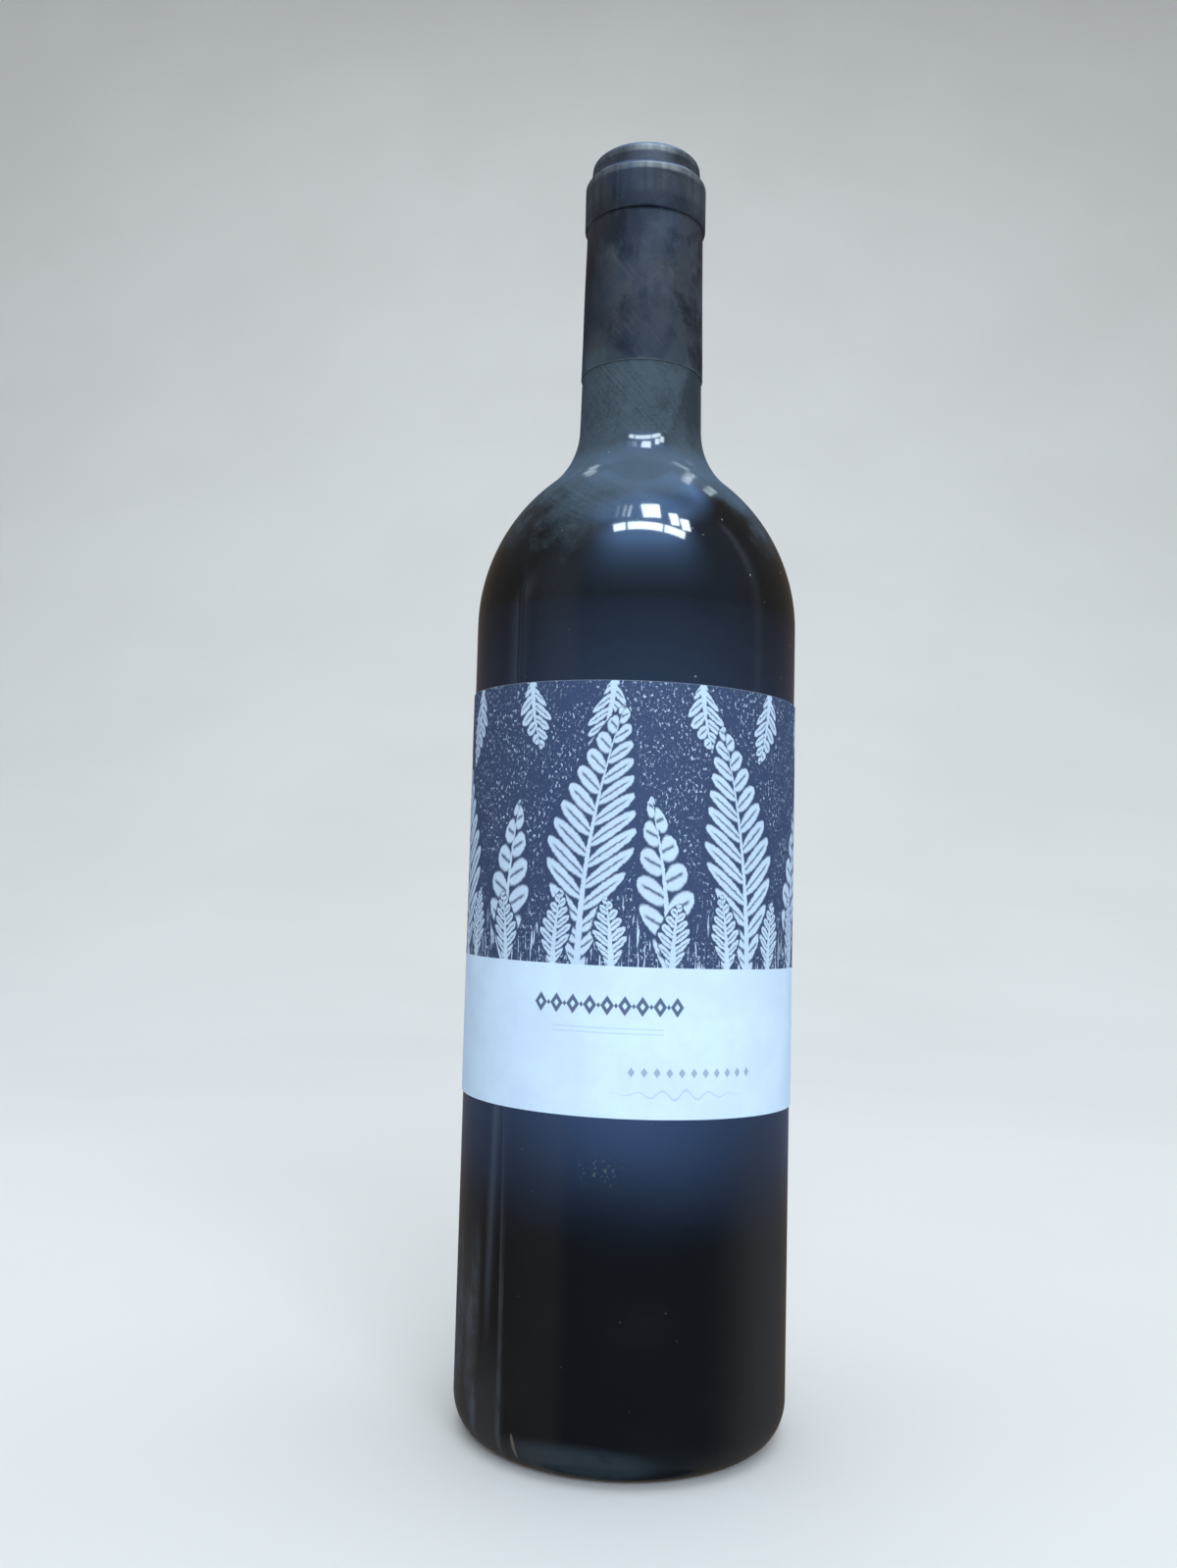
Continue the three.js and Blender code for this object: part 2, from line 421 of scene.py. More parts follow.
class Field:
    """One shader socket. Arithmetic on it adds Math nodes, so that a mask reads as a sum."""

    __add__ = __radd__ = arithmetic("ADD")
    __mul__ = __rmul__ = arithmetic("MULTIPLY")
    __sub__ = arithmetic("SUBTRACT")
    __truediv__ = arithmetic("DIVIDE")
    __pow__ = arithmetic("POWER")
    __abs__ = arithmetic("ABSOLUTE")

    def __init__(self, tree, socket=None):
        self.tree = tree
        self.socket = socket

    def node(self, kind, sockets=None, output=0, **settings):
        """Adds a node: its settings first, then each socket's value or link. Gives one output."""
        made = self.tree.nodes.new("ShaderNode" + kind)
        for name, value in settings.items():
            setattr(made, name, value)
        wire(made, sockets or {})
        return Field(self.tree, made.outputs[output])

    def parts(self):
        """The three lengths of a vector."""
        return [self.node("SeparateXYZ", {0: self}, axis) for axis in "XYZ"]

    def math(self, operation, *values):
        return self.node("Math", dict(enumerate((self, *values))), operation=operation)

    def __rsub__(self, other):
        return self * -1 + other

    def rises(self, low, high):
        """0 below low, 1 above high, and a smooth step between. low may be above high."""
        sockets = {0: self, 1: low, 2: high, 3: 0.0, 4: 1.0}
        return self.node("MapRange", sockets, interpolation_type="SMOOTHSTEP")

    def within(self, start, full, fading, end):
        """1 from full to fading, and a smooth step down to 0 at start and at end."""
        return self.rises(start, full) * self.rises(end, fading)

    def noise(self, scale, detail, roughness, stretch=(1, 1, 1)):
        """Cloudy values about 0.5. self is a vector; stretch multiplies each of its axes."""
        where = self.node("Mapping", {"Vector": self, "Scale": stretch})
        sockets = {"Vector": where, "Scale": scale, "Detail": detail, "Roughness": roughness}
        return self.node("TexNoise", sockets)

    def mix(self, first, second, blend="MIX"):
        """First where self is 0, second where it is 1. With ADD, self times second is added."""
        sockets = {0: self, 6: first, 7: second}
        return self.node("Mix", sockets, 2, data_type="RGBA", blend_type=blend)


def largest(first, *others):
    """The largest of several fields at each point."""
    for other in others:
        first = first.math("MAXIMUM", other)
    return first


def new_finish(name):
    """A material, its Principled shader and a Field to start from."""
    material = bpy.data.materials.new(name)
    material.use_nodes = True
    shader = material.node_tree.nodes["Principled BSDF"]
    return material, shader, Field(material.node_tree)


def wire(node, sockets):
    """Links each socket to its field, or gives it a plain value."""
    for key, value in sockets.items():
        if isinstance(value, Field):
            value.tree.links.new(value.socket, node.inputs[key])
        else:
            node.inputs[key].default_value = value


def dress(piece, material):
    """Gives a piece its material."""
    piece.data.materials.append(material)
    print(material.name, "has", len(material.node_tree.nodes), "nodes")


def relief(field, height, normal=None):
    """A bump whose field, from 0 to 1, stands for this many metres of height."""
    sockets = {"Height": field, "Distance": height, "Strength": 1.0}
    if normal is not None:
        sockets["Normal"] = normal
    return field.node("Bump", sockets)


print("fields are ready")

# %% [markdown]
# ## Places on a turned piece
#
# Object coordinates are metres in the bottle's own frame, so the height is the third of them and
# the angle round the axis is an arctangent of the other two. The angle is 0 at the middle of the
# label and grows to the right.

# %% Heights and angles
def places(start):
    """Object coordinates as a vector, with the height in mm and the angle round the axis."""
    spot = start.node("TexCoord", output="Object")
    x, y, z = spot.parts()
    return spot, z / MM, x.math("ARCTAN2", y * -1)


def specks(spot, scale, share, size):
    """Sparse dots: a share of a Voronoi's cells hold one, with a radius of size cells."""
    sockets = {"Vector": spot, "Scale": scale, "Randomness": 1.0}
    near = spot.node("TexVoronoi", sockets, "Distance")
    tint = spot.node("TexVoronoi", sockets, "Color")
    draw = spot.node("SeparateColor", {0: tint}, "Red")
    return near.rises(size, size * 0.6) * draw.rises(1 - share, 1 - share + 0.01)


print("heights and angles are ready")

# %% [markdown]
# ## Dark dusty glass
#
# Seen from outside, the full bottle is almost black, and what makes it glass is its sharp
# reflection. It could be a refracting shader with an absorbing inside, but nothing shows through,
# so an opaque black base under a polished surface gives the same picture with no noise.
#
# The dust is what tells that the bottle has been in a cellar: a grey-green film over the neck and
# shoulder that ends in ragged patches, hazy sides near the foot, and scattered specks. The film
# reaches lowest left of the middle. It is rubbed thin along the right of the neck and over the
# front of the shoulder, but lies thick in the hollow between them. A few marks have places of their
# own: a painted glow, a pale crescent where light would show through the thick heel; a pale, rough
# mark beside it; dirt and a painted highlight along the foot of a seam; and a small scuff below
# the label.
#
# The film has been brushed in slanting strokes. These are noise stretched forty times along a
# slanted line on the unrolled wall.

# %% Dust and marks on the glass
HEEL_GLOW = (-0.25, 4.5, 22.0, 5.0)
HEEL_PALE_MARK = (-0.617, 5.7, 0.6, 3.2)
PALE_MARK_LEAN = 0.004
SCUFF = (-0.13, 64.4, 6.5, 4.5)
FILM_EDGE = (199, 217)
RUBBED_SHARE = 0.45
FRONT_SHARE = 0.55
STROKE_LENGTH = 40


def mark(angle, height, place):
    """1 in the middle of a place on the body, falling to 0 at an ellipse round it.

    A place is an angle, a height, half a width and half a height, all but the first in mm."""
    middle, level, half_width, half_height = place
    x = (angle - middle) * (BODY_RADIUS / MM / half_width)
    y = (height - level) / half_height
    return (x * x + y * y).rises(1.0, 0.0)


def strokes(spot, height, angle, radius, slant, pitch):
    """Noise about 0.5 drawn out along a slanted direction of the unrolled wall. pitch is in mm."""
    unrolled = angle * radius
    along = unrolled * np.cos(slant) + height * np.sin(slant)
    across = height * np.cos(slant) - unrolled * np.sin(slant)
    where = spot.node("CombineXYZ", {0: along / (STROKE_LENGTH * pitch), 1: across / pitch})
    return where.noise(1.0, 3, 0.6)


def shoulder_film(height, angle, cloud, patch, wipe):
    """A film that thickens over 18 mm of height, from an edge made ragged by two sizes of cloud.

    Heights are in mm and angles in radians."""
    ragged = 20 * (cloud - 0.5) + 18 * (patch - 0.5)
    bare = angle.within(-0.1, 0.45, 0.6, 0.9) * height.rises(217, 208)
    reach = 7 * abs(angle + 0.3).rises(0.4, 0.0) - 9 * bare
    film = (height + ragged + reach).rises(*FILM_EDGE) * (0.8 + 0.2 * wipe)
    worn_edge = angle + 0.5 * (patch - 0.5) - 0.025 * (height - 240)
    rubbed = worn_edge.rises(0.64, 0.78) * angle.rises(2.8, 1.8) * height.rises(222, 240)
    upper = angle.within(-0.28, -0.14, 0.3, 0.5) * height.within(223.5, 225.5, 228.6, 229.8)
    lower = angle.within(-0.45, -0.1, 0.5, 0.95) * height.rises(213, 206)
    return film * (1 - RUBBED_SHARE * rubbed) * (1 - FRONT_SHARE * largest(upper, lower))


def side_haze(height, angle, patch, wipe):
    """Haze on the sides near the foot: streaked and thick at the left, faint elsewhere.

    It fades out towards the back, where the angle jumps from plus to minus half a turn."""
    streaks = (0.2 + wipe.rises(0.3, 0.62)) * (0.7 + 0.8 * patch.rises(0.35, 0.7))
    left = angle.rises(-0.9, -1.0) * height.rises(58, 26) * streaks
    low = 0.36 * angle.rises(SEAM_ANGLE + 0.06, SEAM_ANGLE - 0.02) * height.rises(32, 6)
    right = 0.23 * angle.rises(0.5, 1.0) * height.rises(85, 40)
    return largest(left, low, right) * abs(angle).rises(3.1, 2.4)


def seam_dirt_and_sheen(height, angle, patch):
    """Dirt and painted highlight along the seam near the foot: a line a millimetre wide, broken by
    noise.
    """
    line = abs(angle - SEAM_ANGLE).rises(0.026, 0.006)
    return line * height.rises(60, 30) * patch.rises(0.2, 0.6)


print("the film starts between", FILM_EDGE, "mm up")

# %% [markdown]
# A film of dust also hides the reflection under it. So the dust isn't mixed into the glass's
# colour: it is a matt skin with a shader of its own, and its cover chooses between the two. Where
# the cover is thick the tone still varies, between dull and pale dust. In the hollow of the neck,
# which faces the sky, the dust carries painted skylight and is bluer; near the foot it is plain
# grey.

# %% Glass finish
GLASS_BLACK = (0.0022, 0.0028, 0.0036, 1)
# The next colour is a painted glow: light seen through the thick glass of the heel.
HEEL_GLOW_COLOUR = (0.022, 0.031, 0.038, 1)
PALE_MARK_COLOUR = (0.10, 0.088, 0.075, 1)
SPECK = (0.16, 0.175, 0.18, 1)
DUST_DULL = (0.038, 0.051, 0.060, 1)
DUST_PALE = (0.068, 0.091, 0.108, 1)
# The next colour is dust with painted skylight, for the upward-facing hollow of the neck.
DUST_SKYLIT = (0.076, 0.110, 0.146, 1)
DUST_GREY = (0.062, 0.064, 0.067, 1)
GLASS_IOR = 1.52
HAZE_SHARE = 0.95
SEAM_DIRT_AND_SHEEN_SHARE = 0.4
SCUFF_SHARE = 0.7


def under_dust(shader, cover, colour, normal):
    """Lays a matt skin of dust over a shader: none where cover is 0, only dust where it is 1."""
    matt = {"Roughness": 0.85, "Specular IOR Level": 0.15}
    skin = cover.node("BsdfPrincipled", {"Base Color": colour, "Normal": normal, **matt})
    below = Field(cover.tree, shader.outputs[0])
    both = cover.node("MixShader", {0: cover, 1: below, 2: skin})
    wire(cover.tree.nodes["Material Output"], {"Surface": both})


def glass_finish():
    material, shader, start = new_finish("dark_glass")
    spot, height, angle = places(start)
    cloud = spot.noise(48, 5, 0.6)
    patch = spot.noise(150, 5, 0.68)
    wipe = spot.noise(70, 4, 0.6, (1, 1, 0.22))
    grain = spot.noise(1500, 2, 0.6)
    brushed = strokes(spot, height, angle, NECK_FOOT_RADIUS / MM, np.radians(-50), 0.5)

    film = shoulder_film(height, angle, cloud, patch, wipe)
    haze = HAZE_SHARE * side_haze(height, angle, patch, wipe)
    # Dirt and a painted highlight along the seam.
    dirt_and_sheen = SEAM_DIRT_AND_SHEEN_SHARE * seam_dirt_and_sheen(height, angle, patch)
    thin = 0.045 + 0.05 * cloud.rises(0.5, 0.8)
    scuff = mark(angle, height, SCUFF) * spot.noise(900, 3, 0.7).rises(0.56, 0.66)
    upper_half = height.rises(100, 150)
    sparse = largest(specks(spot, 150, 0.3, 0.05), specks(spot, 420, 0.1, 0.09))
    dots = largest(sparse * (0.4 + 0.6 * upper_half), SCUFF_SHARE * scuff)
    cover = largest(film, haze + dirt_and_sheen + thin, dots)
    tone = 0.28 * wipe + 0.27 * patch + 0.25 * brushed + 0.2 * grain
    # Painted skylight: in the hollow, which faces the sky, the dust is bluer.
    hollow = 0.8 * (height - 5 * angle.rises(0.0, -0.4)).rises(206, 214) * height.rises(228, 223)
    dust = hollow.mix(tone.rises(0.4, 0.6).mix(DUST_DULL, DUST_PALE), DUST_SKYLIT)
    dust = dots.mix(upper_half.mix(DUST_GREY, dust), SPECK)

    # heel is a painted glow: paler where light would pass through the thick glass, in a crescent
    # and round the lowest 10 mm.
    heel = mark(angle, height, HEEL_GLOW) + 0.25 * height.rises(10, 2)
    # A pale, rough mark at the heel, its ellipse leaning a little with the height.
    leaning = angle + PALE_MARK_LEAN * (height - HEEL_PALE_MARK[1])
    pale_mark = mark(leaning, height, HEEL_PALE_MARK)
    body = (heel * patch.rises(0.1, 0.5)).mix(GLASS_BLACK, HEEL_GLOW_COLOUR)
    waves = relief(spot.noise(24, 1, 0.4), 0.2 * MM)
    colour = pale_mark.rises(0.1, 0.5).mix(body, PALE_MARK_COLOUR)
    rough = 0.05 + 0.06 * cover + 0.02 * patch + 0.3 * pale_mark
    wire(shader, {"Base Color": colour, "Roughness": rough, "Normal": waves, "IOR": GLASS_IOR})
    under_dust(shader, cover, dust, relief(grain, 0.03 * MM, waves))
    return material


dress(bottle_glass, glass_finish())

# %% [markdown]
# ## The satin capsule
#
# The capsule is black foil with a satin skin. Handling has left a bloom of dust on it, blue here
# and grey there, and fine slanting scratches: the same strokes as above, cut off high so that only
# thin crests are left. Its rim and the ridge below it carry painted highlights, its collar painted
# upright bars of sheen for the pleats, its neck a painted shade at the left and its lower collar a
# painted shade, and the film of the neck creeps over its foot. Each mark is a function of its own.

# %% Dust and wear on the capsule
FOIL_RADIUS = COLLAR_RADIUS / MM
FOIL_FOOT = CAPSULE_FOOT / MM
FOIL_COLLAR = COLLAR_FOOT / MM
# Heights in mm of the painted highlights on the rim and on the ridge.
RIM_HIGHLIGHT = 300.3
RIDGE_HIGHLIGHT = 294.9
CREEP_EDGE = (255, 250)


def foil_scratches(spot, height, angle, cloud):
    """Fine crests that slant one way and broader ones that cross them, both in patches."""
    fine = strokes(spot, height, angle, FOIL_RADIUS, np.radians(-52), 0.4).rises(0.57, 0.66)
    broad = strokes(spot, height, angle, FOIL_RADIUS, np.radians(38), 0.7).rises(0.6, 0.7)
    return largest(fine, 0.7 * broad) * cloud.rises(0.38, 0.6)


def foil_painted_highlights(height, angle, sheen_bars):
    """Painted highlights: pale bands round the rim and ridge, strongest a little right of the
    middle.
    """
    rim = abs(height - RIM_HIGHLIGHT).rises(1.5, 0.5)
    rim = rim * (0.2 + 0.8 * abs(angle - 0.14).rises(0.65, 0.05))
    ridge = abs(height - RIDGE_HIGHLIGHT).rises(1.2, 0.4)
    ridge = ridge * (0.2 + 0.75 * abs(angle - 0.25).rises(0.9, 0.0))
    return largest(rim, ridge) * (0.6 + 0.4 * sheen_bars)


def foil_creep(height, angle, cloud, smear):
    """The neck's film over the foot: its edge is ragged, lower in front and at the far right."""
    ragged = 12 * (smear - 0.5) + 10 * (cloud - 0.5)
    lower = angle.within(-0.8, -0.1, 0.25, 0.6) + angle.within(0.75, 0.95, 2.2, 3.1)
    # The lowest 0.9 mm is full of dust, which also lightens the shade line at the foot: dust and
    # painted light.
    hem_dust_and_light = height.rises(FOIL_FOOT + 0.9, FOIL_FOOT)
    return largest((height + ragged + 7 * lower).rises(*CREEP_EDGE), hem_dust_and_light)


def foil_dust(height, angle, bloom, sheen_bars, sides):
    """Bloom rubbed off in front, painted shade at the left, and painted bars and sides on the
    collar.

    Dust is also caught at the left below the collar, and a painted shade darkens the lower collar."""
    left = angle.within(-2.9, -2.0, -0.9, -0.35)
    right = angle.within(0.15, 0.5, 2.0, 2.9) * height.rises(286, 283)
    front = abs(angle - 0.08).rises(0.55, 0.35) * height.within(246, 251, 261, 264.5)
    # rubbed here is painted shade: the left of the capsule's neck is darker where less light falls.
    rubbed = left * height.within(253, 258, 271, 278)
    caught = left * height.within(270, 278, 284.5, 286.5)
    handled_and_shaded = (1 - 0.55 * rubbed) * (1 + 0.45 * right) * (1 - 0.42 * front)
    collar = height.within(FOIL_COLLAR, FOIL_COLLAR + 2, RIDGE_HIGHLIGHT, RIM_HIGHLIGHT)
    # Painted shade: the dust is cut over the lower collar, darkest a little above its foot.
    groove_shade = abs(height - FOIL_COLLAR - 1.9).rises(2.8, 0.8)
    groove_shade = groove_shade * (0.95 - 0.6 * abs(angle - 0.2).rises(0.3, 0.7))
    dust = (0.006 + 0.088 * bloom) * handled_and_shaded * (1 - 0.4 * collar) + 0.045 * caught
    return (dust + (0.035 * sheen_bars + 0.07 * sides) * collar) * (1 - groove_shade)


print("the film ends between", CREEP_EDGE, "mm up the capsule")

# %% [markdown]
# The finish puts them together. Dust, wear, painted highlights and painted sheen lighten the black,
# grain and scratches are pressed in by a few hundredths of a millimetre, and the film from the neck
# lies on top as a matt skin, as on the glass. The foil's cut edge is painted pale: painted light
# that offsets the shadow line under the foot.

# %% Capsule finish
CAPSULE_BLACK = (0.006, 0.007, 0.009, 1)
CAPSULE_BLUE = (0.20, 0.27, 0.38, 1)
CAPSULE_GREY = (0.315, 0.32, 0.33, 1)
# The next colour is painted light on the foil's cut edge.
LIT_CUT_EDGE = (0.105, 0.125, 0.14, 1)
HIGHLIGHT_SHARE = 0.62
CREEP_SHARE = 0.8


def capsule_finish():
    material, shader, start = new_finish("satin_capsule")
    spot, height, angle = places(start)
    cloud = spot.noise(60, 5, 0.66)
    smear = spot.noise(130, 4, 0.62, (1, 1, 0.4))
    grain = spot.noise(2400, 2, 0.6)
    # Painted sheen: upright bars that stand for the pleats' broken reflections on the collar.
    sheen_bars = strokes(spot, height, angle, FOIL_RADIUS, QUARTER, 2.2).rises(0.42, 0.6)
    sides = abs(angle).rises(0.4, 0.9)
    scratches = foil_scratches(spot, height, angle, cloud)

    bloom = cloud.rises(0.44, 0.59) * 0.65 + smear.rises(0.44, 0.61) * 0.45
    # worn holds the painted highlights on the rim and ridge.
    worn = HIGHLIGHT_SHARE * foil_painted_highlights(height, angle, sheen_bars)
    dust = foil_dust(height, angle, bloom, sheen_bars, sides) + worn
    dust = dust * (0.7 + 0.6 * grain) + 0.045 * scratches
    grey = spot.noise(85, 3, 0.6) + 0.16 * largest(sides, height.rises(292, 296))
    tint = grey.rises(0.4, 0.6).mix(CAPSULE_BLUE, CAPSULE_GREY)
    bumps = relief(grain - 0.6 * scratches, 0.03 * MM, relief(smear, 0.2 * MM))
    colour = dust.mix(CAPSULE_BLACK, tint)
    rough = 0.36 + 0.2 * bloom + 0.1 * grain
    satin = {"Roughness": rough, "Specular IOR Level": 0.26}
    wire(shader, {"Base Color": colour, "Normal": bumps, **satin})

    # Painted light: the lowest tenth of a millimetre, the foil's cut edge, is paler to offset its
    # shadow line.
    cut = height.rises(FOIL_FOOT + 0.14, FOIL_FOOT + 0.04)
    settled_dust_and_light = cut.mix(smear.rises(0.4, 0.6).mix(DUST_DULL, DUST_PALE), LIT_CUT_EDGE)
    under_dust(shader, CREEP_SHARE * foil_creep(height, angle, cloud, smear), settled_dust_and_light, bumps)
    return material


dress(capsule_foil, capsule_finish())

# %% [markdown]
# ## The printed paper
#
# The upper two thirds of the sheet are printed dark blue, with a hedge of white ferns in the rough
# manner of a block print. The rest is bare but for a plain ornament. Everything is drawn in the
# sheet's millimetres.
#
# One fern is a formula. Turn the sheet so that its stem runs along one axis. A leaflet leans
# forward, so slide each point back by its distance from the stem: along that slid length the
# leaflets repeat evenly, and each is as wide as an arch over its own length. A row of ferns is the
# same formula on a folded coordinate, with the lean and size drawn from the number of the fold.

# %% One row of ferns
PRINT_FOOT = 31.4
PRINT_TOP = LABEL_HEIGHT / MM - 0.12
LINE_SOFTNESS = 0.07


def fern_row(across, rise, spacing, offset, length, reach, pitch, sway, slope):
    """Ferns that stand one in each spacing of the sheet. rise is the distance from their roots.

    Every second fern bends the other way. Gives two masks: the drawn leaflets and stem, and the
    whole outline that they fill."""
    number = ((across + offset) / spacing).math("FLOOR")
    draw = number.node("TexWhiteNoise", {"W": number + offset}, noise_dimensions="1D")
    bend = sway * (1 - 2 * number.math("PINGPONG", 1.0)) * (0.55 + 0.45 * draw)
    tall = length * (0.82 + 0.18 * draw)
    share = rise / tall
    stem = across + offset - (number + 0.5) * spacing - bend * share * share
    away = abs(stem)
    slid = rise - away * slope
    root = slid / tall
    arch = root.rises(-0.1, 0.4) * (1 - root).math("MAXIMUM", 0.0) ** 0.75
    leaflet = away / (arch * reach + 0.01)
    turn = stem.math("GREATER_THAN", 0.0) * 0.5
    middle = abs((slid / pitch + turn).math("FRACT") - 0.5)
    wide = 0.86 * (leaflet * (1 - leaflet)).math("MAXIMUM", 0.0) ** 0.5
    blade = (wide - middle).rises(-LINE_SOFTNESS, LINE_SOFTNESS) * leaflet.rises(1.0, 0.96)
    vein = (middle - 0.05).rises(LINE_SOFTNESS, -LINE_SOFTNESS) * leaflet.rises(0.9, 0.7)
    stalk = (away - 0.75 * (1.05 - share)).rises(0.12, -0.12) * share.rises(1.0, 0.99)
    drawn = largest(blade * (1 - vein), stalk)
    outline = (leaflet - 1.1).rises(0.06, -0.06) * root.rises(1.0, 0.98)
    return drawn, largest(outline, stalk)


print("dark field in mm:", round(PRINT_TOP - PRINT_FOOT, 1))

# %% [markdown]
# A hedge needs more than one plant. Four rows, each with its own size and spacing, are laid one in
# front of the other: the whole outline of a plant cuts a dark gap out of those behind it, as a
# carver leaves a line round a leaf. Flecks fill the ground, and upright strokes stand for grass.

# %% The whole block print
# Each row: spacing, offset, length, reach, pitch, sway and slope, as in fern_row
TALL = (38.6, 11.0, 59.0, 14.0, 4.5, 10.0, 0.8)
TWIG = (38.6, 30.3, 42.0, 9.0, 6.4, 6.0, 0.55)
HUNG = (19.3, 14.0, 19.0, 6.0, 2.9, 5.0, 0.8)
SPRIG = (12.9, 4.0, 18.0, 5.2, 2.3, 2.0, 0.8)


def print_mask(across, up, flat):
    """Rows of ferns and leafy twigs, each in front of the one before, on flecked ground."""
    from_foot = up - PRINT_FOOT + 1.5
    from_top = PRINT_TOP + 1.0 - up
    tall, tall_shape = fern_row(across, from_foot, *TALL)
    twig, twig_shape = fern_row(across, from_foot, *TWIG)
    hung, hung_shape = fern_row(across, from_top, *HUNG)
    sprig, sprig_shape = fern_row(across, from_foot, *SPRIG)
    behind = largest(hung * (1 - twig_shape), twig) * (1 - tall_shape)
    plants = largest(largest(behind, tall) * (1 - sprig_shape), sprig)
    bare = 1 - largest(tall_shape, twig_shape, hung_shape, sprig_shape)

    patches = flat.noise(0.14, 3, 0.6).rises(0.34, 0.54)
    fleck = flat.noise(1.7, 3, 0.7, (1, 0.6, 1)).rises(0.57, 0.64)
    blades = flat.noise(1.5, 2, 0.6, (1, 0.1, 1)).rises(0.56, 0.64)
    grass = blades * (from_foot - 22 * flat.noise(0.5, 2, 0.5, (1, 0, 1))).rises(3.0, 0.0)
    return largest(plants, bare * largest(fleck * patches, grass))


print("the print has four rows of plants")

# %% [markdown]
# The pale field carries common printer's ornaments, drawn with distances only: a dark band of
# lozenges with beads between them, a thin double rule, and at the lower right a row of small
# lozenges over a light waved flourish. Lozenges in a row are one lozenge on a folded coordinate.

# %% Ornament
BAND = (92.2, 23.2)
BAND_PITCH = 3.7
BAND_COUNT = 9
SMALL_ROW = (111.0, 9.6)
SMALL_PITCH = 2.7
SMALL_COUNT = 11
FLOURISH = (108.0, 5.1)
FLOURISH_HALF = 16.0
FLOURISH_WAVE = 5.2
EDGE = 0.08
LOZENGE = (1.45, 2.1)
HOLLOW = (0.55, 0.8)
BEAD = (0.42, 0.6)
SMALL_LOZENGE = (0.75, 1.05)
RULE_DROP = 5.2
RULE_GAP = 0.5


def lozenges(x, y, pitch, count, wide, tall):
    """A count of lozenges in a row: scaled distances from each one's middle add up to less than 1.

    An odd count has one in the middle, and an even count has a gap there."""
    folded = (x / pitch + 0.5 * (count % 2)).math("FRACT")
    beside = abs(folded - 0.5) * pitch
    inside = (beside / wide + abs(y) / tall).rises(1 + EDGE, 1 - EDGE)
    return inside * abs(x).math("LESS_THAN", count * pitch / 2)


def ornament_masks(across, up):
    """Dark mask of the band, middle grey mask of the small row, light mask of rule and flourish."""
    x = across - BAND[0]
    y = up - BAND[1]
    band = lozenges(x, y, BAND_PITCH, BAND_COUNT, *LOZENGE)
    hollow = lozenges(x, y, BAND_PITCH, BAND_COUNT, *HOLLOW)
    beads = lozenges(x, y, BAND_PITCH, BAND_COUNT - 1, *BEAD)
    rule = abs(abs(y + RULE_DROP) - RULE_GAP).rises(0.16, 0.06) * abs(x).rises(12.0, 11.8)
    small_x = across - SMALL_ROW[0]
    small_y = up - SMALL_ROW[1]
    small = lozenges(small_x, small_y, SMALL_PITCH, SMALL_COUNT, *SMALL_LOZENGE)
    run = across - FLOURISH[0]
    taper = (1 - abs(run) / FLOURISH_HALF).math("MAXIMUM", 0.0)
    wave = up - FLOURISH[1] - 1.1 * taper * (run * (2 * np.pi / FLOURISH_WAVE)).math("SINE")
    flourish = (abs(wave) - 0.32 * taper).rises(EDGE, -EDGE) * taper.rises(0.0, 0.02)
    return largest(band - hollow, beads), small, largest(rule, flourish)


print("ornament band is", BAND_PITCH * BAND_COUNT, "mm wide")

# %% [markdown]
# The paper is uncoated and a little uneven, and the ink lets its fibres show. Its cut edge has
# picked up dirt, so the rim of the dark field is only a thin grey line.

# %% Label finish
PAPER = (0.62, 0.76, 0.91, 1)
PAPER_DULL = (0.58, 0.70, 0.86, 1)
PAPER_EDGE = (0.16, 0.18, 0.22, 1)
INK = (0.023, 0.036, 0.075, 1)
INK_WORN = (0.047, 0.072, 0.138, 1)
GREY_INK = (0.23, 0.29, 0.38, 1)
PALE_INK = (0.39, 0.5, 0.62, 1)
WHITE_COVER = 0.86
LIGHT_COVER = 0.6
GREY_COVER = 0.75
DARK_COVER = 0.92


def label_finish():
    material, shader, start = new_finish("printed_paper")
    sheet = start.node("UVMap", uv_map="sheet")
    lengths = (LABEL_WIDTH / MM, LABEL_HEIGHT / MM, 1)
    flat = sheet.node("Mapping", {"Vector": sheet, "Scale": lengths})
    across, up, _ = flat.parts()
    rough = 0.9 * (flat.noise(0.9, 4, 0.75) - 0.5)
    ragged = 0.9 * (flat.noise(1.1, 4, 0.75) - 0.5)
    drawn = print_mask(across + rough, up + ragged, flat)
    dark, grey, light = ornament_masks(across, up)

    fibre = flat.noise(3.2, 4, 0.7, (1, 0.5, 1))
    worn = flat.noise(0.09, 4, 0.6)
    paper = worn.rises(0.35, 0.7).mix(PAPER_DULL, PAPER)
    ink = fibre.rises(0.3, 0.75).mix(INK, INK_WORN)
    field = (drawn * WHITE_COVER).mix(ink, paper)
    pale = (light * LIGHT_COVER).mix(paper, PALE_INK)
    pale = (grey * GREY_COVER).mix(pale, GREY_INK)
    pale = (dark * DARK_COVER).mix(pale, INK_WORN)
    printed = up.rises(PRINT_FOOT - 0.05, PRINT_FOOT + 0.05)
    rim = up.rises(PRINT_TOP - 0.05, PRINT_TOP + 0.05)
    colour = rim.mix(printed.mix(pale, field), PAPER_EDGE)
    matt = {"Roughness": 0.62 - 0.12 * printed * (1 - drawn) + 0.1 * fibre}
    bumps = relief(fibre, 0.02 * MM, relief(worn, 0.3 * MM))
    wire(shader, {"Base Color": colour, "Normal": bumps, "Specular IOR Level": 0.35, **matt})
    return material


dress(label_sheet, label_finish())

# %% [markdown]
# ## Floor
#
# A studio sweep is one sheet that runs along the floor and curves up behind the object, so that no
# horizon shows. It is pale, and it is kept out of mirror reflections: black glass would otherwise
# turn white along its sides.

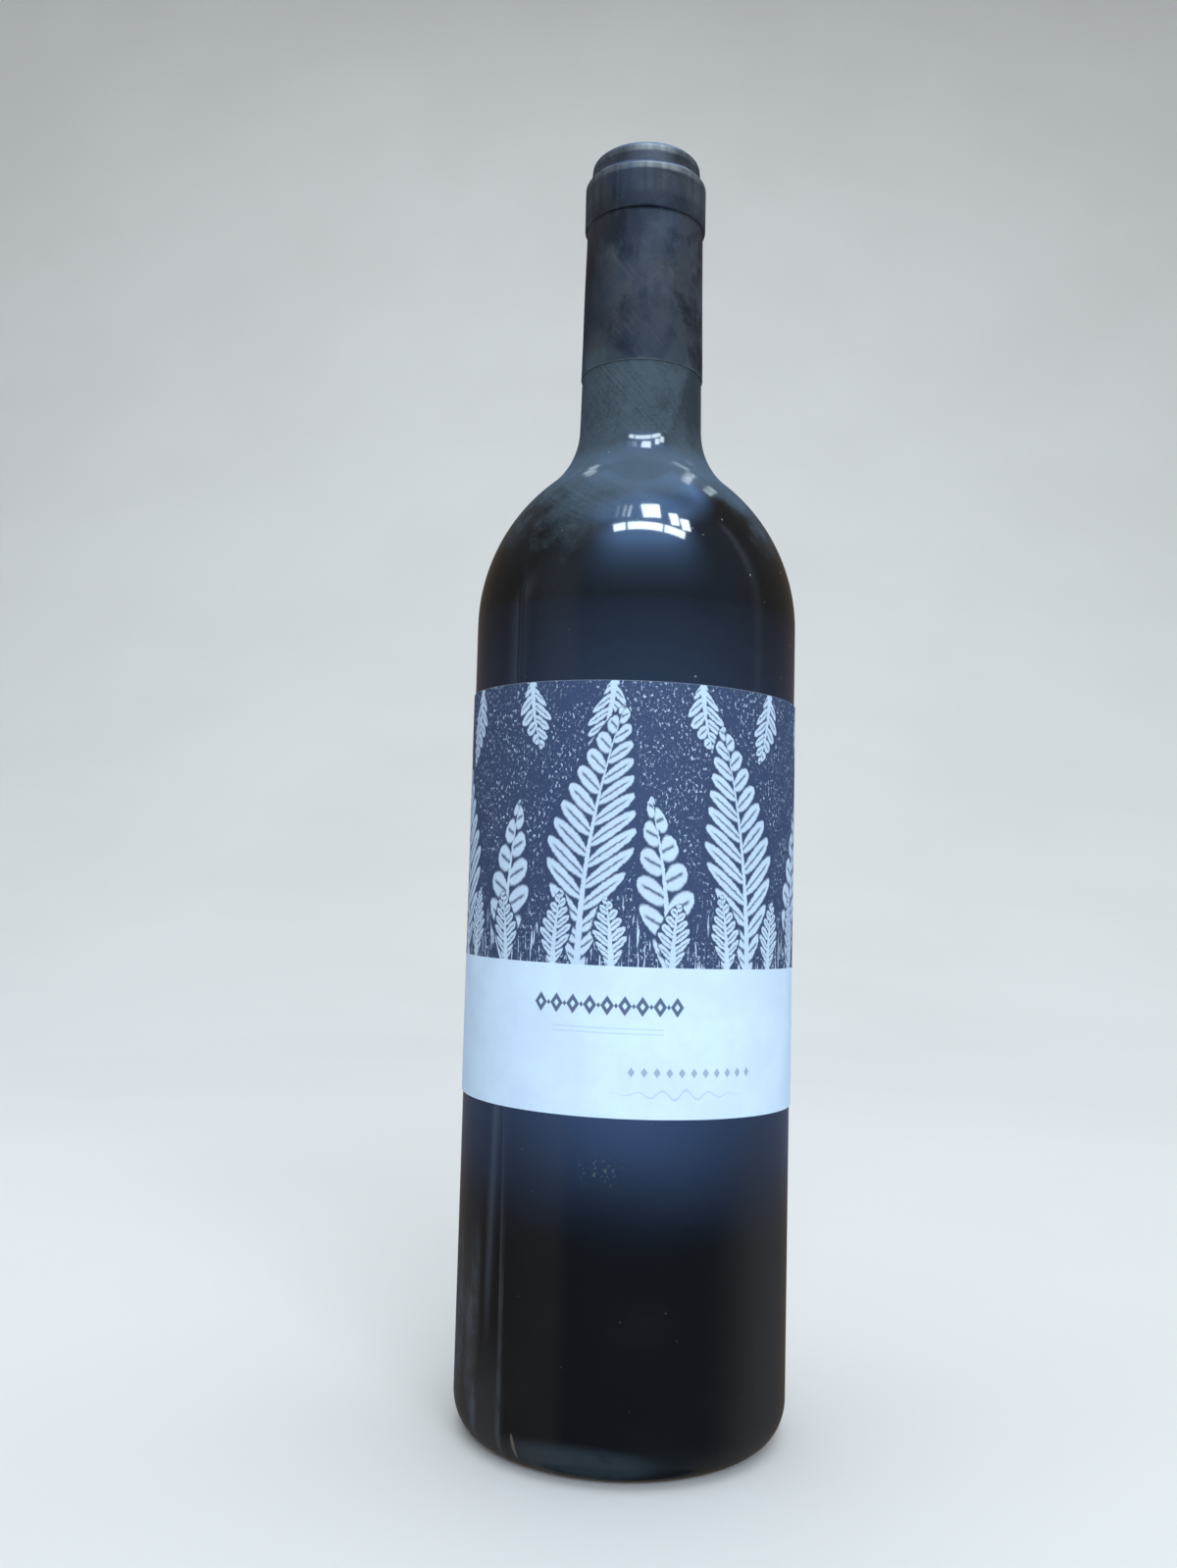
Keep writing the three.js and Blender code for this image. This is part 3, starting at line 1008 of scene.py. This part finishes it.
# %% Floor
SWEEP_HALF_WIDTH = 4.0
SWEEP_FRONT = -3.0
SWEEP_BACK = 0.7
SWEEP_ROUND = 2.2
SWEEP_TOP = 4.5
FLOOR_DULL = (0.83, 0.77, 0.73, 1)
FLOOR_PALE = (0.86, 0.80, 0.76, 1)


def floor_sweep():
    """A profile of floor, quarter arc and wall, carried sideways in a straight line."""
    bend = arc((SWEEP_BACK, SWEEP_ROUND), SWEEP_ROUND, -QUARTER, 0, 24)
    profile = np.concatenate([[[SWEEP_FRONT, 0]], bend, [[bend[-1, 0], SWEEP_TOP]]])
    count = len(profile)
    sides = (-SWEEP_HALF_WIDTH, SWEEP_HALF_WIDTH)
    points = np.concatenate([np.column_stack([np.full(count, x), profile]) for x in sides])
    row = np.arange(count - 1)
    faces = np.stack([row, row + count, row + count + 1, row + 1], axis=-1)
    return add_piece("floor", points, faces.tolist())


floor = floor_sweep()
floor.visible_glossy = False


def floor_finish():
    material, shader, start = new_finish("pale_floor")
    spot = start.node("TexCoord", output="Object")
    mottle = spot.noise(3, 3, 0.5).rises(0.3, 0.7)
    colour = mottle.mix(FLOOR_DULL, FLOOR_PALE)
    wire(shader, {"Base Color": colour, "Roughness": 0.9, "Specular IOR Level": 0.1})
    return material


dress(floor, floor_finish())

# %% [markdown]
# ## Light
#
# Black glass shows nothing but what it mirrors, so what lights the scene and what shows in the
# glass are kept apart, as a photographer does with black cards and light tents. Two soft lights and
# an even sky do the plain work on the paper, the dust and the floor, and stay out of reflections.

# %% Soft lights
BOTTLE_MIDDLE = Vector((0, 0, 130)) * MM
COOL_WHITE = (0.78, 0.91, 1.0)
SKY_STRENGTH = 0.4


def panel(name, place, target, size, power):
    """A rectangular light that faces a point, unseen by the camera."""
    light = bpy.data.lights.new(name, "AREA")
    light.shape = "RECTANGLE"
    light.size, light.size_y = size
    light.energy = power
    light.color = COOL_WHITE
    made = bpy.data.objects.new(name, light)
    facing = (place - target).to_track_quat("Z", "Y").to_matrix().to_4x4()
    made.matrix_world = Matrix.Translation(place) @ facing
    made.visible_camera = False
    scene.collection.objects.link(made)
    return made


key_light = panel("key_light", Vector((0.45, -2.0, 0.9)), BOTTLE_MIDDLE, (1.6, 1.6), 38)
top_light = panel("top_light", Vector((0.1, 0.2, 2.6)), BOTTLE_MIDDLE, (3.0, 3.0), 50)
key_light.visible_glossy = False
top_light.visible_glossy = False

world = bpy.data.worlds.new("even_sky")
world.use_nodes = True
sky = world.node_tree.nodes["Background"]
sky.inputs["Color"].default_value = (*COOL_WHITE, 1)
sky.inputs["Strength"].default_value = SKY_STRENGTH
world.cycles_visibility.glossy = False
scene.world = world
scene.view_settings.view_transform = "Standard"
print("soft lights in watts:", key_light.data.energy, top_light.data.energy)

# %% [markdown]
# ## What the glass mirrors
#
# A window hangs above and a little in front: a low bright band in three lengths with panes and
# slits over it, which the round shoulder shrinks to a small bright shape. Three level panes
# overhead give the slanted glints at the foot of the neck. Each pane stands in the direction that
# the shoulder mirrors to the camera, and is tilted so that its mirror image comes out upright.

# %% Window
SHOULDER_SPOT = Vector((3, -35, 202)) * MM
WINDOW_DISTANCE = 1.1
DAYLIGHT = 85
LEVEL_DAYLIGHT = 50
BAND_TOWARDS = (0.097, -0.497, 0.862)
BAND_TALL = 0.11
BAND_TILT = -0.145
SLIT_TOWARDS = (-0.138, -0.31, 0.941)
SLIT_SIZE = (0.026, 0.18)
SLIT_TILT = 0.2
WINDOW = {
    "window_band_left": (BAND_TOWARDS, (0.145, BAND_TALL), DAYLIGHT, BAND_TILT, -0.333),
    "window_band_middle": (BAND_TOWARDS, (0.395, BAND_TALL), DAYLIGHT, BAND_TILT, -0.037),
    "window_band_right": (BAND_TOWARDS, (0.26, BAND_TALL), DAYLIGHT, BAND_TILT, 0.311),
    "window_slit_dim": (SLIT_TOWARDS, SLIT_SIZE, 10, SLIT_TILT, -0.07),
    "window_slit_middle": (SLIT_TOWARDS, SLIT_SIZE, 22, SLIT_TILT),
    "window_slit_bright": (SLIT_TOWARDS, SLIT_SIZE, 34, SLIT_TILT, 0.055),
    "window_pane_middle": ((0.11, -0.305, 0.946), (0.19, 0.205), DAYLIGHT, -0.15),
    "window_pane_right": ((0.334, -0.324, 0.885), (0.095, 0.17), DAYLIGHT, -0.4),
    "window_pane_far": ((0.441, -0.314, 0.841), (0.10, 0.155), DAYLIGHT, -0.43),
}
LEVEL_PANES = {
    "level_pane_left": (-0.325, 0.73, (0.08, 0.30), 0.8 * LEVEL_DAYLIGHT),
    "level_pane_right": (0.33, 0.6, (0.07, 0.48), LEVEL_DAYLIGHT),
    "level_pane_far": (0.51, 0.6, (0.09, 0.32), 0.3 * LEVEL_DAYLIGHT),
}


def pane(name, place, target, size, brightness):
    """A lit pane that only reflections see. Its power follows its area."""
    made = panel(name, place, target, size, brightness * size[0] * size[1])
    made.visible_diffuse = False
    return made


def window_pane(name, towards, size, brightness, tilt, aside=0.0):
    """A pane in a direction from the shoulder, tilted in its plane and moved along its width."""
    place = SHOULDER_SPOT + Vector(towards).normalized() * WINDOW_DISTANCE
    made = pane(name, place, SHOULDER_SPOT, size, brightness)
    turn = Matrix.Rotation(tilt, 4, "Z") @ Matrix.Translation((aside, 0, 0))
    made.matrix_world = made.matrix_world @ turn
    return made


def level_pane(name, sideways, back, size, brightness):
    """A pane that lies level overhead. Its place is given for each metre of height."""
    place = SHOULDER_SPOT + Vector((sideways, back, 1)) * WINDOW_DISTANCE
    return pane(name, place, place - Vector((0, 0, 1)), size, brightness)


panes = [window_pane(name, *row) for name, row in WINDOW.items()]
panes += [level_pane(name, *row) for name, row in LEVEL_PANES.items()]
print("panes:", len(panes))

# %% [markdown]
# The rest of the room is a round screen with a lid, which only reflections see. It is painted by
# angle and height, in tones that add up: a blue glow low in front, which shows below the label; one
# that grows upwards in front and fills the ceiling, which shows on the shoulder; a fainter blue
# room in front and a grey one at the sides and behind; and two narrow upright strips that trace the
# body's edges. Lights with hard edges would show as grey rectangles in the glass.

# %% Reflection screen
SCREEN_RADIUS = 1.5
SCREEN_LOW = -3.0
SCREEN_HIGH = 8.0
SCREEN_STEPS = 64


def screen_wall():
    """An upright cylinder, every angle at two heights, with a lid that fans out from its middle."""
    angle = np.linspace(-np.pi, np.pi, SCREEN_STEPS, endpoint=False)
    low = around(SCREEN_RADIUS, angle, SCREEN_LOW)
    high = around(SCREEN_RADIUS, angle, SCREEN_HIGH)
    first = np.arange(SCREEN_STEPS)
    second = np.roll(first, -1)
    wall = np.stack([first, first + SCREEN_STEPS, second + SCREEN_STEPS, second], axis=-1)
    middle = np.full(SCREEN_STEPS, 2 * SCREEN_STEPS)
    lid = np.stack([first + SCREEN_STEPS, middle, second + SCREEN_STEPS], axis=-1)
    points = np.concatenate([low, high, [[0, 0, SCREEN_HIGH]]])
    return add_piece("reflection_screen", points, wall.tolist() + lid.tolist())


screen = screen_wall()
screen.visible_camera = False
screen.visible_diffuse = False
screen.visible_shadow = False

# %% [markdown]
# The paint is a shader that only emits. Each tone is a mask times a colour. Heights are in metres
# here, because the screen is far larger than the bottle.

# %% Paint the screen
NO_LIGHT = (0, 0, 0, 1)
LOW_BLUE = (0.85, 1.72, 4.05, 1)
HIGH_BLUE = (1.3, 2.65, 5.4, 1)
ROOM_BLUE = (0.185, 0.24, 0.36, 1)
ROOM_GREY = (0.12, 0.097, 0.075, 1)
STRIP_GREY = (0.3, 0.39, 0.54, 1)
LEFT_STRIP = -1.68
RIGHT_STRIP = 1.66
STRIP_LEAN = 0.26


def bell(field, half):
    """e to the power of minus (field over half) squared: 1 at 0, about a third at half."""
    return (field * field * (-1 / half**2)).math("EXPONENT")


def high_glow(height, angle):
    """A column in front that brightens with the square of its height, and the ceiling."""
    above = (height - 0.35).math("MAXIMUM", 0.0)
    column = abs(angle - 0.12).rises(1.05, 0.3) * (above * above * 0.38).math("MINIMUM", 1.0)
    ceiling = height.rises(2.2, 3.4) * (0.9 - 0.45 * bell(abs(angle) - 1.6, 0.5))
    return largest(column, ceiling)


def edge_strips(height, angle):
    """A leaning strip at the left that is wider above, and an upright one at the right."""
    beside = (angle - LEFT_STRIP - STRIP_LEAN * height) * (1 - 0.5 * height.rises(0.0, 0.4))
    left = bell(beside, 0.06) * height.within(-0.47, -0.33, 0.6, 1.1)
    right = bell(angle - RIGHT_STRIP, 0.07) * height.within(0.1, 0.4, 1.7, 2.2)
    return largest(left, right * (0.3 + 0.5 * height.rises(0.7, 1.2)))


def screen_finish():
    material, shader, start = new_finish("painted_glow")
    _, millimetres, angle = places(start)
    height = millimetres * MM
    low = bell(angle - 0.08, 1.55) * height.within(-0.32, -0.13, 0.1, 0.6)
    room = angle.within(-1.6, -0.9, 1.0, 2.0) * (0.2 + 0.8 * height.rises(0.2, 0.45))
    sides = largest(angle.rises(-0.6, -0.8), angle.rises(0.9, 1.8))

    light = low.mix(NO_LIGHT, LOW_BLUE)
    light = high_glow(height, angle).mix(light, HIGH_BLUE, "ADD")
    light = room.mix(light, ROOM_BLUE, "ADD")
    light = sides.mix(light, ROOM_GREY, "ADD")
    light = edge_strips(height, angle).mix(light, STRIP_GREY, "ADD")
    wire(shader, {"Emission Color": light, "Emission Strength": 1.0})
    wire(shader, {"Base Color": NO_LIGHT, "Specular IOR Level": 0.0})
    material.cycles.emission_sampling = "NONE"
    return material


dress(screen, screen_finish())
